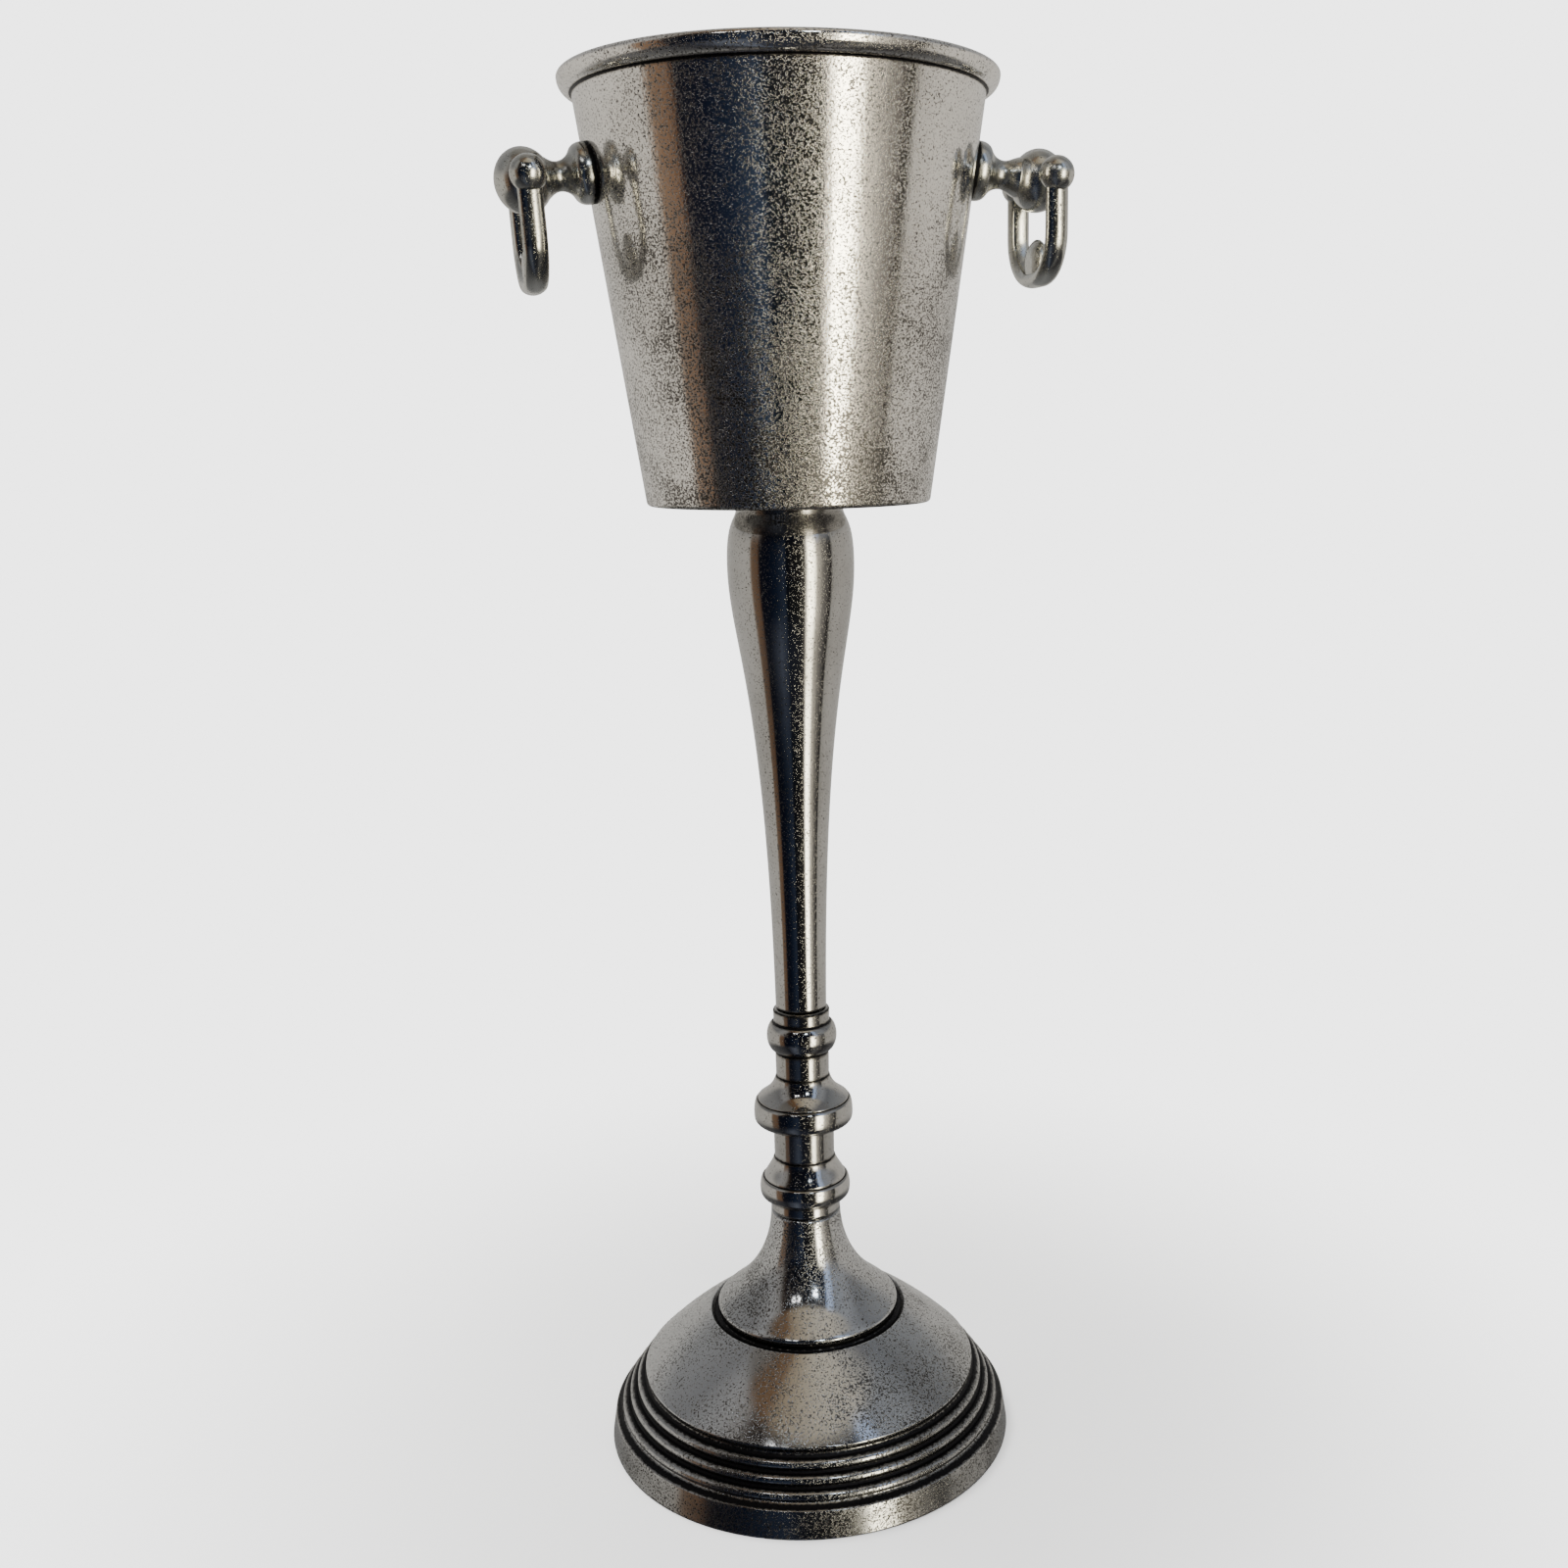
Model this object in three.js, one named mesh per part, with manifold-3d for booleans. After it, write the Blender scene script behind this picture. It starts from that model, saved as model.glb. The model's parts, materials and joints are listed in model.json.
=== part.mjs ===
// Champagne bucket stand: a tapered cast bucket with two drop-ring handles on a turned pedestal.
// Millimetres, +Z up, origin on the floor at the pedestal's axis. Both rings' pins lie along Y.
import * as THREE from 'three';
import { mergeVertices } from 'three/addons/utils/BufferGeometryUtils.js';
import Module from 'manifold-3d';

const wasm = await Module();
wasm.setup();

// ---- driving dimensions ----
const GAP = 0.3;                    // clearance between pieces that meet
const BUCKET_SEGMENTS = 40;
const BASE_SEGMENTS = 40;
const STEM_SEGMENTS = 24;
const SMALL_SEGMENTS = 20;

const FOOT_RADIUS = 118.6;          // outer radius of the foot where it meets the floor
const FOOT_TOP_RADIUS = 116.2;
const FOOT_HEIGHT = 15.7;
const FOOT_RIM_WIDTH = 6;           // flat ring that the stand rests on
const DOME_RADIUS = 97.7;           // lower edge of the dome
const DOME_EDGE_Z = 41.8;
const DOME_TOP_RADIUS = 57.7;       // dome's upper edge, outside the groove
const DOME_TOP_Z = 75.4;
const DOME_CROWN = 1.8;             // how far the dome bulges from a straight cone
const STEP_COUNT = 3;               // beads between the dome and the foot
const STEP_BEAD = 3.1;              // radius of each bead
const TRUMPET_RADIUS = 53.2;        // thin lip where the trumpet ends
const TRUMPET_LIP_Z = 79.4;
const BASE_TOP_RADIUS = 20.3;
const BASE_TOP_Z = 138;
const BASE_WALL = 6;
const HUB_BOTTOM_Z = 66;            // underside of the hub that the clamp nut pulls on

const COLUMN_TOP_Z = 262.2;         // joint between the collared column and the baluster
const BALUSTER_FOOT_RADIUS = 14.6;
const BALUSTER_MAX_RADIUS = 34.7;
const BALUSTER_MAX_Z = 516;
const BALUSTER_TOP_RADIUS = 29.4;

const BUCKET_Z = 547.9;             // underside of the bucket
const BUCKET_FLOOR_RADIUS = 76.2;
const BUCKET_WALL_TOP_Z = 754.6;    // crease under the rim bead
const BUCKET_WALL_TOP_RADIUS = 106.3;
const BUCKET_WALL = 3.5;
const BUCKET_FLOOR = 4.2;
const SEAT_RADIUS = 17;             // raised seat for the seal, round the rod's hole
const SEAT_HEIGHT = 1.2;
const RIM_RADIUS = 113.5;
const RIM_WIDEST_Z = 762.4;
const RIM_NECK_RADIUS = 106.7;      // where the rim bead's curve starts under the bead
const RIM_DROP = 7.6;               // from the bead's widest point down to its lower edge
const RIM_TOP_Z = 765.2;

const ROD_RADIUS = 5;               // M10 clamp rod through the whole stand
const BORE_RADIUS = ROD_RADIUS + GAP;
const SPIGOT_RADIUS = 9;
const SPIGOT_LENGTH = 8;

const KNUCKLE_RADIUS = 16.3;
const KNUCKLE_HALF_LENGTH = 14.5;
const KNUCKLE_START_ANGLE = -55;    // where the knuckle's curve leaves the neck, in degrees
const PAD_RADIUS = 15.2;
const NECK_RADIUS = 7.3;
const LEG_SPREAD = 27.5;            // ball centre to knuckle centre
const BALL_RADIUS = 9.2;
const RING_DROP = 54.7;             // pin axis to the lowest point of the ring
const RING_CORNER = 23;             // the ring's two lower corners, with a short straight between them
const BAR_WIDTH = 12.4;
const BAR_DEPTH = 8.4;
const BEND_STEPS = 5;               // facets round each corner of the ring
const BEAD_RADIUS = 12.4;           // lens-shaped bead at the bottom of the ring
const BEAD_THICKNESS = 10;
const PIN_RADIUS = 3;
const SCREW_RADIUS = 3;             // M6 screw that holds each boss
const SCREW_REACH = 13;

// Each handle has its own azimuth, in degrees from +X, and its own reach and height: the centre of its
// knuckle, on the ring's pin. Each ring hangs at its own angle from the vertical, positive outwards.
// The two were fitted by hand, so they aren't quite opposite each other or at quite the same height.
const HANDLES = [
  { label: 'left', side: -1, azimuth: 183, reach: 133.5, z: 709.8, hang: -3 },
  { label: 'right', side: 1, azimuth: -7.6, reach: 136.3, z: 714.2, hang: 0.1 },
];

// the wall leans outwards by this angle, and each boss stands square to it
const WALL_LEAN = Math.atan2(
  BUCKET_WALL_TOP_RADIUS - BUCKET_FLOOR_RADIUS,
  BUCKET_WALL_TOP_Z - BUCKET_Z,
);
const wallRadiusAt = (z) => BUCKET_FLOOR_RADIUS + (z - BUCKET_Z) * Math.tan(WALL_LEAN);
const knuckleToWall = (handle) => (handle.reach - wallRadiusAt(handle.z)) * Math.cos(WALL_LEAN);

// ---- materials ----
const metal = (color, roughness, metalness = 1) =>
  new THREE.MeshStandardMaterial({ color, roughness, metalness });
const castMetal = () => metal(0xb4b0aa, 0.32);
const handleMetal = () => metal(0xa8a49e, 0.24);
const steel = () => metal(0x9c9c9a, 0.3);
const rubber = () => metal(0x1d1c1b, 0.8, 0);

// ---- shape helpers ----
const point = (x, y) => new THREE.Vector2(x, y);

function bezier(start, pullStart, pullEnd, end, steps) {
  return new THREE.CubicBezierCurve(start, pullStart, pullEnd, end).getPoints(steps);
}

// points on an ellipse about (cx, cy), angles in degrees
function arc(cx, cy, rx, ry, fromDegrees, toDegrees, steps) {
  return Array.from({ length: steps + 1 }, (_, i) => {
    const angle = THREE.MathUtils.degToRad(fromDegrees + ((toDegrees - fromDegrees) * i) / steps);
    return point(cx + rx * Math.cos(angle), cy + ry * Math.sin(angle));
  });
}

// turns a profile of (radius, height) points about Z
function turned(profile, segments) {
  const geometry = new THREE.LatheGeometry(profile, segments);
  geometry.rotateX(Math.PI / 2);
  return geometry;
}

// a ring with a square section, its lower face at z
function ring(inner, outer, z, height, segments = SMALL_SEGMENTS) {
  const profile = [
    point(inner, z), point(outer, z), point(outer, z + height), point(inner, z + height), point(inner, z),
  ];
  return turned(profile, segments);
}

function solid(geometry) {
  const bare = geometry.index ? geometry.toNonIndexed() : geometry.clone();
  for (const name of Object.keys(bare.attributes)) {
    if (name !== 'position') bare.deleteAttribute(name);
  }
  const merged = mergeVertices(bare, 1e-4);
  const positions = merged.attributes.position.array;
  const triangles = [];
  for (let i = 0; i < merged.index.count; i += 3) {
    const [a, b, c] = [merged.index.getX(i), merged.index.getX(i + 1), merged.index.getX(i + 2)];
    if (a !== b && b !== c && c !== a) triangles.push(a, b, c);
  }
  const mesh = new wasm.Mesh({
    numProp: 3,
    vertProperties: new Float32Array(positions),
    triVerts: new Uint32Array(triangles),
  });
  return new wasm.Manifold(mesh);
}

function geometryOf(manifold) {
  const mesh = manifold.getMesh();
  const geometry = new THREE.BufferGeometry();
  geometry.setAttribute('position', new THREE.BufferAttribute(new Float32Array(mesh.vertProperties), 3));
  geometry.setIndex(new THREE.BufferAttribute(new Uint32Array(mesh.triVerts), 1));
  geometry.computeVertexNormals();
  return geometry;
}

function cylinder(radius, from, to, segments = SMALL_SEGMENTS) {
  const geometry = new THREE.CylinderGeometry(radius, radius, to - from, segments);
  geometry.rotateX(Math.PI / 2);
  geometry.translate(0, 0, (from + to) / 2);
  return geometry;
}

function hexagon(acrossFlats, from, to) {
  return cylinder(acrossFlats / Math.sqrt(3), from, to, 6);
}

const root = new THREE.Group();

function add(name, geometry, material, parent = root) {
  const mesh = new THREE.Mesh(geometry, material);
  mesh.name = name;
  parent.add(mesh);
  return mesh;
}

// ---- base casting: foot, beads, dome and trumpet in one shell, open underneath ----
function baseGeometry() {
  const pitch = point(
    (FOOT_TOP_RADIUS - DOME_RADIUS) / (STEP_COUNT + 1),
    (FOOT_HEIGHT - DOME_EDGE_Z) / (STEP_COUNT + 1),
  );
  const slope = THREE.MathUtils.radToDeg(Math.atan2(pitch.y, pitch.x));
  const beads = [];
  for (let i = STEP_COUNT; i >= 1; i -= 1) {
    const crown = point(DOME_RADIUS + pitch.x * i, DOME_EDGE_Z + pitch.y * i);
    const inset = THREE.MathUtils.degToRad(slope + 90);
    const cx = crown.x - STEP_BEAD * Math.cos(inset);
    const cy = crown.y - STEP_BEAD * Math.sin(inset);
    beads.push(...arc(cx, cy, STEP_BEAD, STEP_BEAD, slope + 20, slope + 160, 3));
  }
  const domeMiddle = point(
    (DOME_RADIUS + DOME_TOP_RADIUS) / 2 + DOME_CROWN,
    (DOME_EDGE_Z + DOME_TOP_Z) / 2 + DOME_CROWN,
  );
  const dome = new THREE.QuadraticBezierCurve(
    point(DOME_RADIUS, DOME_EDGE_Z), domeMiddle, point(DOME_TOP_RADIUS, DOME_TOP_Z),
  ).getPoints(4);
  const trumpet = bezier(
    point(TRUMPET_RADIUS, TRUMPET_LIP_Z), point(52, 83.5), point(21.5, 97), point(BASE_TOP_RADIUS, BASE_TOP_Z), 8,
  );
  const profile = [
    point(FOOT_RADIUS - FOOT_RIM_WIDTH, 0),
    point(FOOT_RADIUS, 0),
    point(FOOT_TOP_RADIUS, FOOT_HEIGHT),
    ...beads,
    point(DOME_RADIUS - 0.4, DOME_EDGE_Z - 3),
    ...dome,
    point(DOME_TOP_RADIUS - 2.5, DOME_TOP_Z - 2),
    point(TRUMPET_RADIUS - 0.6, DOME_TOP_Z - 1),
    ...trumpet,
    point(SPIGOT_RADIUS + GAP, BASE_TOP_Z),
    point(SPIGOT_RADIUS + GAP, BASE_TOP_Z - SPIGOT_LENGTH - GAP),
    point(BORE_RADIUS, BASE_TOP_Z - SPIGOT_LENGTH - GAP),
    point(BORE_RADIUS, HUB_BOTTOM_Z),
    point(DOME_TOP_RADIUS - BASE_WALL - 8, HUB_BOTTOM_Z),
    point(DOME_RADIUS - BASE_WALL, DOME_EDGE_Z - BASE_WALL - 1),
    point(FOOT_RADIUS - FOOT_RIM_WIDTH - 2, FOOT_HEIGHT - BASE_WALL),
    point(FOOT_RADIUS - FOOT_RIM_WIDTH, 0),
  ];
  return turned(profile, BASE_SEGMENTS);
}

// ---- collared column: three collars between two plain necks ----
function columnGeometry() {
  const bottom = BASE_TOP_Z + GAP;
  const top = COLUMN_TOP_Z - GAP;
  const profile = [
    point(BORE_RADIUS, bottom - SPIGOT_LENGTH),
    point(SPIGOT_RADIUS, bottom - SPIGOT_LENGTH),
    point(SPIGOT_RADIUS, bottom),
    point(BASE_TOP_RADIUS, bottom),
    point(20, 145.6),
    ...arc(23.2, 149.6, 3, 3.2, -80, 0, 2),
    point(26.4, 152.4),
    point(26.1, 155.4),
    point(25.4, 157.5),
    point(24.3, 158.3),
    ...bezier(point(23.8, 158.6), point(22, 163), point(19.5, 165), point(17.9, 170.5), 2),
    point(17.6, 190.8),
    point(18.4, 192),
    ...arc(25.4, 196, 3.2, 3.4, -80, 0, 2),
    point(28.75, 199.6),
    point(28.45, 203),
    point(27.8, 205.5),
    point(26.9, 206.6),
    ...bezier(point(26.4, 207), point(21, 211), point(17.5, 214), point(15.7, 220.5), 2),
    point(15.55, 236.7),
    ...arc(15.6, 245.1, 4.6, 8.6, -75, 72, 5),
    point(16.1, 254.4),
    point(16.3, 260.6),
    point(15.4, top),
    point(SPIGOT_RADIUS + GAP, top),
    point(SPIGOT_RADIUS + GAP, top - SPIGOT_LENGTH - GAP),
    point(BORE_RADIUS, top - SPIGOT_LENGTH - GAP),
    point(BORE_RADIUS, bottom - SPIGOT_LENGTH),
  ];
  return turned(profile, STEM_SEGMENTS);
}

// ---- baluster: slender stem that swells to a shoulder under the bucket ----
function balusterGeometry() {
  const bottom = COLUMN_TOP_Z;
  const top = BUCKET_Z - GAP;
  const taper = bezier(
    point(BALUSTER_FOOT_RADIUS, bottom + 0.8), point(16.7, 451.6),
    point(BALUSTER_MAX_RADIUS, 471.8), point(BALUSTER_MAX_RADIUS, BALUSTER_MAX_Z), 10,
  );
  const shoulder = bezier(
    point(BALUSTER_MAX_RADIUS, BALUSTER_MAX_Z), point(BALUSTER_MAX_RADIUS, 542.6),
    point(27.6, 539.8), point(BALUSTER_TOP_RADIUS, top), 5,
  );
  const profile = [
    point(BORE_RADIUS, bottom - SPIGOT_LENGTH),
    point(SPIGOT_RADIUS, bottom - SPIGOT_LENGTH),
    point(SPIGOT_RADIUS, bottom),
    point(BALUSTER_FOOT_RADIUS - 0.8, bottom),
    ...taper,
    ...shoulder.slice(1),
    point(BORE_RADIUS, top),
    point(BORE_RADIUS, bottom - SPIGOT_LENGTH),
  ];
  return turned(profile, STEM_SEGMENTS);
}

// ---- bucket ----
function bucketGeometry() {
  const innerTop = wallRadiusAt(RIM_WIDEST_Z) - BUCKET_WALL;
  const floorTop = BUCKET_Z + BUCKET_FLOOR;
  const innerFloor = wallRadiusAt(floorTop) - BUCKET_WALL;
  const profile = [
    point(BORE_RADIUS, BUCKET_Z),
    ...arc(BUCKET_FLOOR_RADIUS - 2.2, BUCKET_Z + 2.5, 2.5, 2.5, -90, -8, 3),
    point(BUCKET_WALL_TOP_RADIUS, BUCKET_WALL_TOP_Z),
    ...arc(RIM_NECK_RADIUS, RIM_WIDEST_Z, RIM_RADIUS - RIM_NECK_RADIUS, RIM_DROP, -75, 0, 5),
    ...arc(RIM_RADIUS - 4, RIM_WIDEST_Z, 4, RIM_TOP_Z - RIM_WIDEST_Z, 20, 90, 3),
    ...arc(innerTop + 2.6, RIM_WIDEST_Z, 2.6, RIM_TOP_Z - RIM_WIDEST_Z, 90, 180, 3),
    ...arc(innerFloor - 5, floorTop + 5, 5, 5, 0, -90, 3),
    point(SEAT_RADIUS, floorTop),
    point(SEAT_RADIUS, floorTop + SEAT_HEIGHT),
    point(BORE_RADIUS, floorTop + SEAT_HEIGHT),
    point(BORE_RADIUS, BUCKET_Z),
  ];
  return turned(profile, BUCKET_SEGMENTS);
}

// a solid cone that follows the bucket's outer wall, moved outwards by offset
function wallCone(offset) {
  const shift = offset / Math.cos(WALL_LEAN);
  const low = BUCKET_Z + 20;
  const high = BUCKET_WALL_TOP_Z - 2;
  const profile = [
    point(0, low), point(wallRadiusAt(low) + shift, low),
    point(wallRadiusAt(high) + shift, high), point(0, high),
  ];
  return solid(turned(profile, BUCKET_SEGMENTS));
}

// Places a shape made along +Z, with z = 0 on the bucket's outer wall, on a handle's boss axis.
function onBossAxis(geometry, handle) {
  const placed = geometry.clone();
  placed.translate(0, 0, -knuckleToWall(handle));
  placed.rotateY(Math.PI / 2 + WALL_LEAN);
  placed.translate(handle.reach, 0, handle.z);
  placed.rotateZ(THREE.MathUtils.degToRad(handle.azimuth));
  return placed;
}

// Moves a shape made about the origin to the centre of a handle's knuckle.
function toKnuckle(geometry, handle) {
  const azimuth = THREE.MathUtils.degToRad(handle.azimuth);
  geometry.translate(handle.reach * Math.cos(azimuth), handle.reach * Math.sin(azimuth), handle.z);
  return geometry;
}

// pad against the wall, waisted neck, then an onion-shaped knuckle
function bossProfile(handle) {
  return [
    point(0, -2),
    point(PAD_RADIUS, -2),
    point(PAD_RADIUS, 4.6),
    ...arc(PAD_RADIUS - 3, 5, 3, 3, 0, 75, 3),
    ...bezier(point(10.4, 10), point(8.2, 12), point(NECK_RADIUS, 14), point(NECK_RADIUS, 16), 3),
    ...arc(0, knuckleToWall(handle), KNUCKLE_RADIUS, KNUCKLE_HALF_LENGTH, KNUCKLE_START_ANGLE, 90, 8),
  ];
}

function pinAxisCylinder(radius, halfLength, handle) {
  return toKnuckle(new THREE.CylinderGeometry(radius, radius, 2 * halfLength, SMALL_SEGMENTS), handle);
}

function bossGeometry(handle) {
  const body = solid(onBossAxis(turned(bossProfile(handle), SMALL_SEGMENTS), handle));
  const screwHole = solid(onBossAxis(cylinder(SCREW_RADIUS + GAP, -10, SCREW_REACH, 12), handle));
  const pinHole = solid(pinAxisCylinder(PIN_RADIUS + GAP, 30, handle));
  return geometryOf(body.subtract(wallCone(GAP)).subtract(screwHole).subtract(pinHole));
}

// ---- drop ring: two ball ends, a U-shaped bar and a lens-shaped bead ----
function ringGeometry(handle) {
  const flat = LEG_SPREAD - RING_CORNER;
  const straight = RING_DROP - BAR_DEPTH / 2 - RING_CORNER;
  const corners = [
    ...arc(-flat, -straight, RING_CORNER, RING_CORNER, 180, 270, BEND_STEPS),
    ...arc(flat, -straight, RING_CORNER, RING_CORNER, 270, 360, BEND_STEPS),
  ];
  const stops = [point(-LEG_SPREAD, 0), ...corners, point(LEG_SPREAD, 0)]
    .map((stop) => new THREE.Vector3(0, stop.x, stop.y));
  const path = new THREE.CurvePath();
  for (let i = 1; i < stops.length; i += 1) path.add(new THREE.LineCurve3(stops[i - 1], stops[i]));
  const section = new THREE.Shape(arc(0, 0, BAR_DEPTH / 2, BAR_WIDTH / 2, 0, 324, 9));
  const bar = new THREE.ExtrudeGeometry(section, { steps: 4 * BEND_STEPS, extrudePath: path, bevelEnabled: false });
  let body = solid(bar);
  for (const end of [-1, 1]) {
    const ball = new THREE.SphereGeometry(BALL_RADIUS, 12, 8);
    ball.translate(0, end * LEG_SPREAD, 0);
    body = body.add(solid(ball));
  }
  const lens = turned([
    point(0, -BEAD_THICKNESS / 2), point(BEAD_RADIUS * 0.6, -BEAD_THICKNESS * 0.4),
    point(BEAD_RADIUS, 0),
    point(BEAD_RADIUS * 0.6, BEAD_THICKNESS * 0.4), point(0, BEAD_THICKNESS / 2),
  ], SMALL_SEGMENTS);
  lens.rotateY(Math.PI / 2);
  lens.translate(0, 0, BEAD_RADIUS - RING_DROP);
  body = body.add(solid(lens));
  const eye = new THREE.CylinderGeometry(PIN_RADIUS + GAP, PIN_RADIUS + GAP, 80, SMALL_SEGMENTS);
  body = body.subtract(solid(eye));
  const geometry = geometryOf(body);
  geometry.rotateY(-handle.side * THREE.MathUtils.degToRad(handle.hang));
  return toKnuckle(geometry, handle);
}

// ---- fasteners of a boss, from inside the bucket ----
function addBossFasteners(handle) {
  const wallInside = -BUCKET_WALL;
  const sealInner = wallInside - 2.2;
  const washerInner = sealInner - GAP - 1.2;
  const headInner = washerInner - GAP - 3.6;
  const sealBlank = solid(onBossAxis(ring(SCREW_RADIUS + GAP, 8, sealInner, 3), handle));
  const seal = sealBlank.intersect(wallCone(wallInside - GAP));
  add(`boss_seal_${handle.label}`, geometryOf(seal), rubber());
  const washer = ring(SCREW_RADIUS + GAP, 7.5, washerInner, 1.2);
  add(`boss_washer_${handle.label}`, onBossAxis(washer, handle), steel());
  const shankFrom = washerInner - GAP;
  const head = solid(hexagon(10, headInner, shankFrom));
  const shank = solid(cylinder(SCREW_RADIUS, headInner + 1, SCREW_REACH - 1, 16));
  add(`boss_screw_${handle.label}`, onBossAxis(geometryOf(head.add(shank)), handle), steel());
}

// ---- assembly ----
add('base_casting', baseGeometry(), castMetal());
add('collar_column', columnGeometry(), castMetal());
add('baluster_stem', balusterGeometry(), castMetal());

let bucket = solid(bucketGeometry());
for (const handle of HANDLES) {
  bucket = bucket.subtract(solid(onBossAxis(cylinder(SCREW_RADIUS + GAP, -20, 10, 16), handle)));
}
add('bucket_shell', geometryOf(bucket), castMetal());

for (const handle of HANDLES) {
  add(`handle_boss_${handle.label}`, bossGeometry(handle), handleMetal());
  add(`handle_ring_${handle.label}`, ringGeometry(handle), handleMetal());
  const pin = pinAxisCylinder(PIN_RADIUS, LEG_SPREAD + BALL_RADIUS - 0.5, handle);
  add(`handle_pin_${handle.label}`, pin, steel());
  addBossFasteners(handle);
}

// clamp stack at the bucket floor: seal, washer and cap nut
const floorTop = BUCKET_Z + BUCKET_FLOOR;
const sealZ = floorTop + SEAT_HEIGHT + GAP;
const washerZ = sealZ + 2 + GAP;
const capNutZ = washerZ + 2 + GAP;
add('bucket_seal', ring(BORE_RADIUS, 15, sealZ, 2), rubber());
add('bucket_washer', ring(BORE_RADIUS, 14, washerZ, 2), steel());
const capHeight = 16;
const capBody = solid(hexagon(17, capNutZ, capNutZ + 8)).add(solid(turned([
  point(0, capNutZ), point(7.6, capNutZ), point(7.6, capNutZ + 8),
  ...arc(0, capNutZ + 8, 7.6, capHeight - 8, 0, 90, 5),
], SMALL_SEGMENTS)));
const capBore = solid(cylinder(BORE_RADIUS, capNutZ - 1, capNutZ + 10.5));
add('cap_nut', geometryOf(capBody.subtract(capBore)), steel());

// clamp stack under the base hub, and the rod that ties everything together
const lowerWasherZ = HUB_BOTTOM_Z - GAP - 3;
const lowerNutZ = lowerWasherZ - GAP - 8;
add('base_washer', ring(BORE_RADIUS, 18, lowerWasherZ, 3), steel());
const nut = solid(hexagon(17, lowerNutZ, lowerNutZ + 8))
  .subtract(solid(cylinder(BORE_RADIUS, lowerNutZ - 1, lowerNutZ + 9)));
add('base_nut', geometryOf(nut), steel());
add('tie_rod', cylinder(ROD_RADIUS, lowerNutZ - 4, capNutZ + 9.5), steel());

export default root;
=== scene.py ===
"""Champagne bucket stand in antiqued cast metal: fine meshes and materials around the CAD frame."""
import json
import math

import bmesh
import bpy
from mathutils import Matrix, Vector


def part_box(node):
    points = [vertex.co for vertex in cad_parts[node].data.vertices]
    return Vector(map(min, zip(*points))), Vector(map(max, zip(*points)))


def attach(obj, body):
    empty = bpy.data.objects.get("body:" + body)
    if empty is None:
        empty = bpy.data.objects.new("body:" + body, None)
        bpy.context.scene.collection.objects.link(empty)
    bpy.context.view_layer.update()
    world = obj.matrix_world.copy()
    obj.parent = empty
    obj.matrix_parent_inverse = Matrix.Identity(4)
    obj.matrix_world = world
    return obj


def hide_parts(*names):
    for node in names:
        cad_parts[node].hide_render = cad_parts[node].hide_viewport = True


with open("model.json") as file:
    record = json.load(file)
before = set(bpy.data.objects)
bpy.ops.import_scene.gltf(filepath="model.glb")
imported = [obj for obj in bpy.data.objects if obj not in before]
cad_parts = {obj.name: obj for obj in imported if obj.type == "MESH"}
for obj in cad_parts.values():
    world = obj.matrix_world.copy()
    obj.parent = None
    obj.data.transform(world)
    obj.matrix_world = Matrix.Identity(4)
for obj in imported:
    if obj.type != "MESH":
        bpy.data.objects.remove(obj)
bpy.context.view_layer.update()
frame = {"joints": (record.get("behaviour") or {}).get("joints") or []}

MM = 0.001
AROUND = 160                      # segments round the large turned pieces
AROUND_STEM = 112
AROUND_SMALL = 56

# ---- sizes read from the frame ----
JOINTS = {joint["name"]: joint for joint in frame["joints"]}
FOOT_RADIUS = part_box("base_casting")[1][0]
BASE_TOP_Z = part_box("base_casting")[1][2]
COLUMN_LOW, COLUMN_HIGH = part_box("collar_column")
BALUSTER_LOW, BALUSTER_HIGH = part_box("baluster_stem")
BUCKET_LOW, BUCKET_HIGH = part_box("bucket_shell")
RIM_RADIUS = BUCKET_HIGH[0]

# ---- sizes of the turned profiles, in millimetres; a pair is (radius, height) ----
GAP = 0.3                         # between pieces that touch on the real object
BORE = 5.3
SPIGOT = 9.0
SPIGOT_LENGTH = 8.0

FOOT_RIM_WIDTH = 6
FOOT_TOP = (116.2, 15.7)
STEP_COUNT = 3                    # beads between the foot and the dome
STEP_BEAD = 3.1                   # radius of each bead's section
DOME_EDGE = (97.7, 41.8)
DOME_TOP = (57.7, 75.4)
DOME_PULL = 1.8                   # pulls the dome's curve off a straight cone, outwards and upwards
GROOVE = ((56.6, 74.3), (55.2, 73.4), (53.6, 73.6), (52.6, 74.6), (52.8, 77.4), (53.2, 78.6))
TRUMPET_LIP = (53.2, 79.4)
TRUMPET_PULLS = ((52, 83.5), (21.5, 97))
BASE_TOP_RADIUS = 20.3
HUB_BOTTOM_Z = 66
HOLLOW = ((43.7, HUB_BOTTOM_Z), (91.7, 34.8), (110.6, 9.7))

# the collars from the lowest up; a lip is a rounded lower corner, as its centre and half sizes
LOW_NECK_TOP = (20.0, 145.4)
LOW_COLLAR_LIP = (23.2, 149.6, 3, 3.2)
LOW_COLLAR_BAND = ((26.25, 149.9), (26.5, 152.0), (26.4, 155.0), (25.4, 157.5))
LOW_COLLAR_SLOPE = ((23.8, 158.9), (22, 163), (19.5, 165), (17.9, 170.5))
MIDDLE_NECK = ((17.5, 171.4), (17.6, 190.4))
MIDDLE_COLLAR_LIP = (25.4, 196, 3.2, 3.4)
MIDDLE_COLLAR_BAND = ((28.65, 196.4), (28.8, 199.0), (28.7, 203.0), (27.8, 205.5))
MIDDLE_COLLAR_SLOPE = ((26.4, 207.3), (21, 211), (17.5, 214), (15.7, 220.5))
HIGH_NECK = ((15.4, 221.5), (15.55, 236.2))
TOP_COLLAR = (15.6, 245.1, 4.6, 8.6)
TOP_COLLAR_CAP = ((16.5, 253.4), (16.1, 254.4), (16.3, 260.6))

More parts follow.
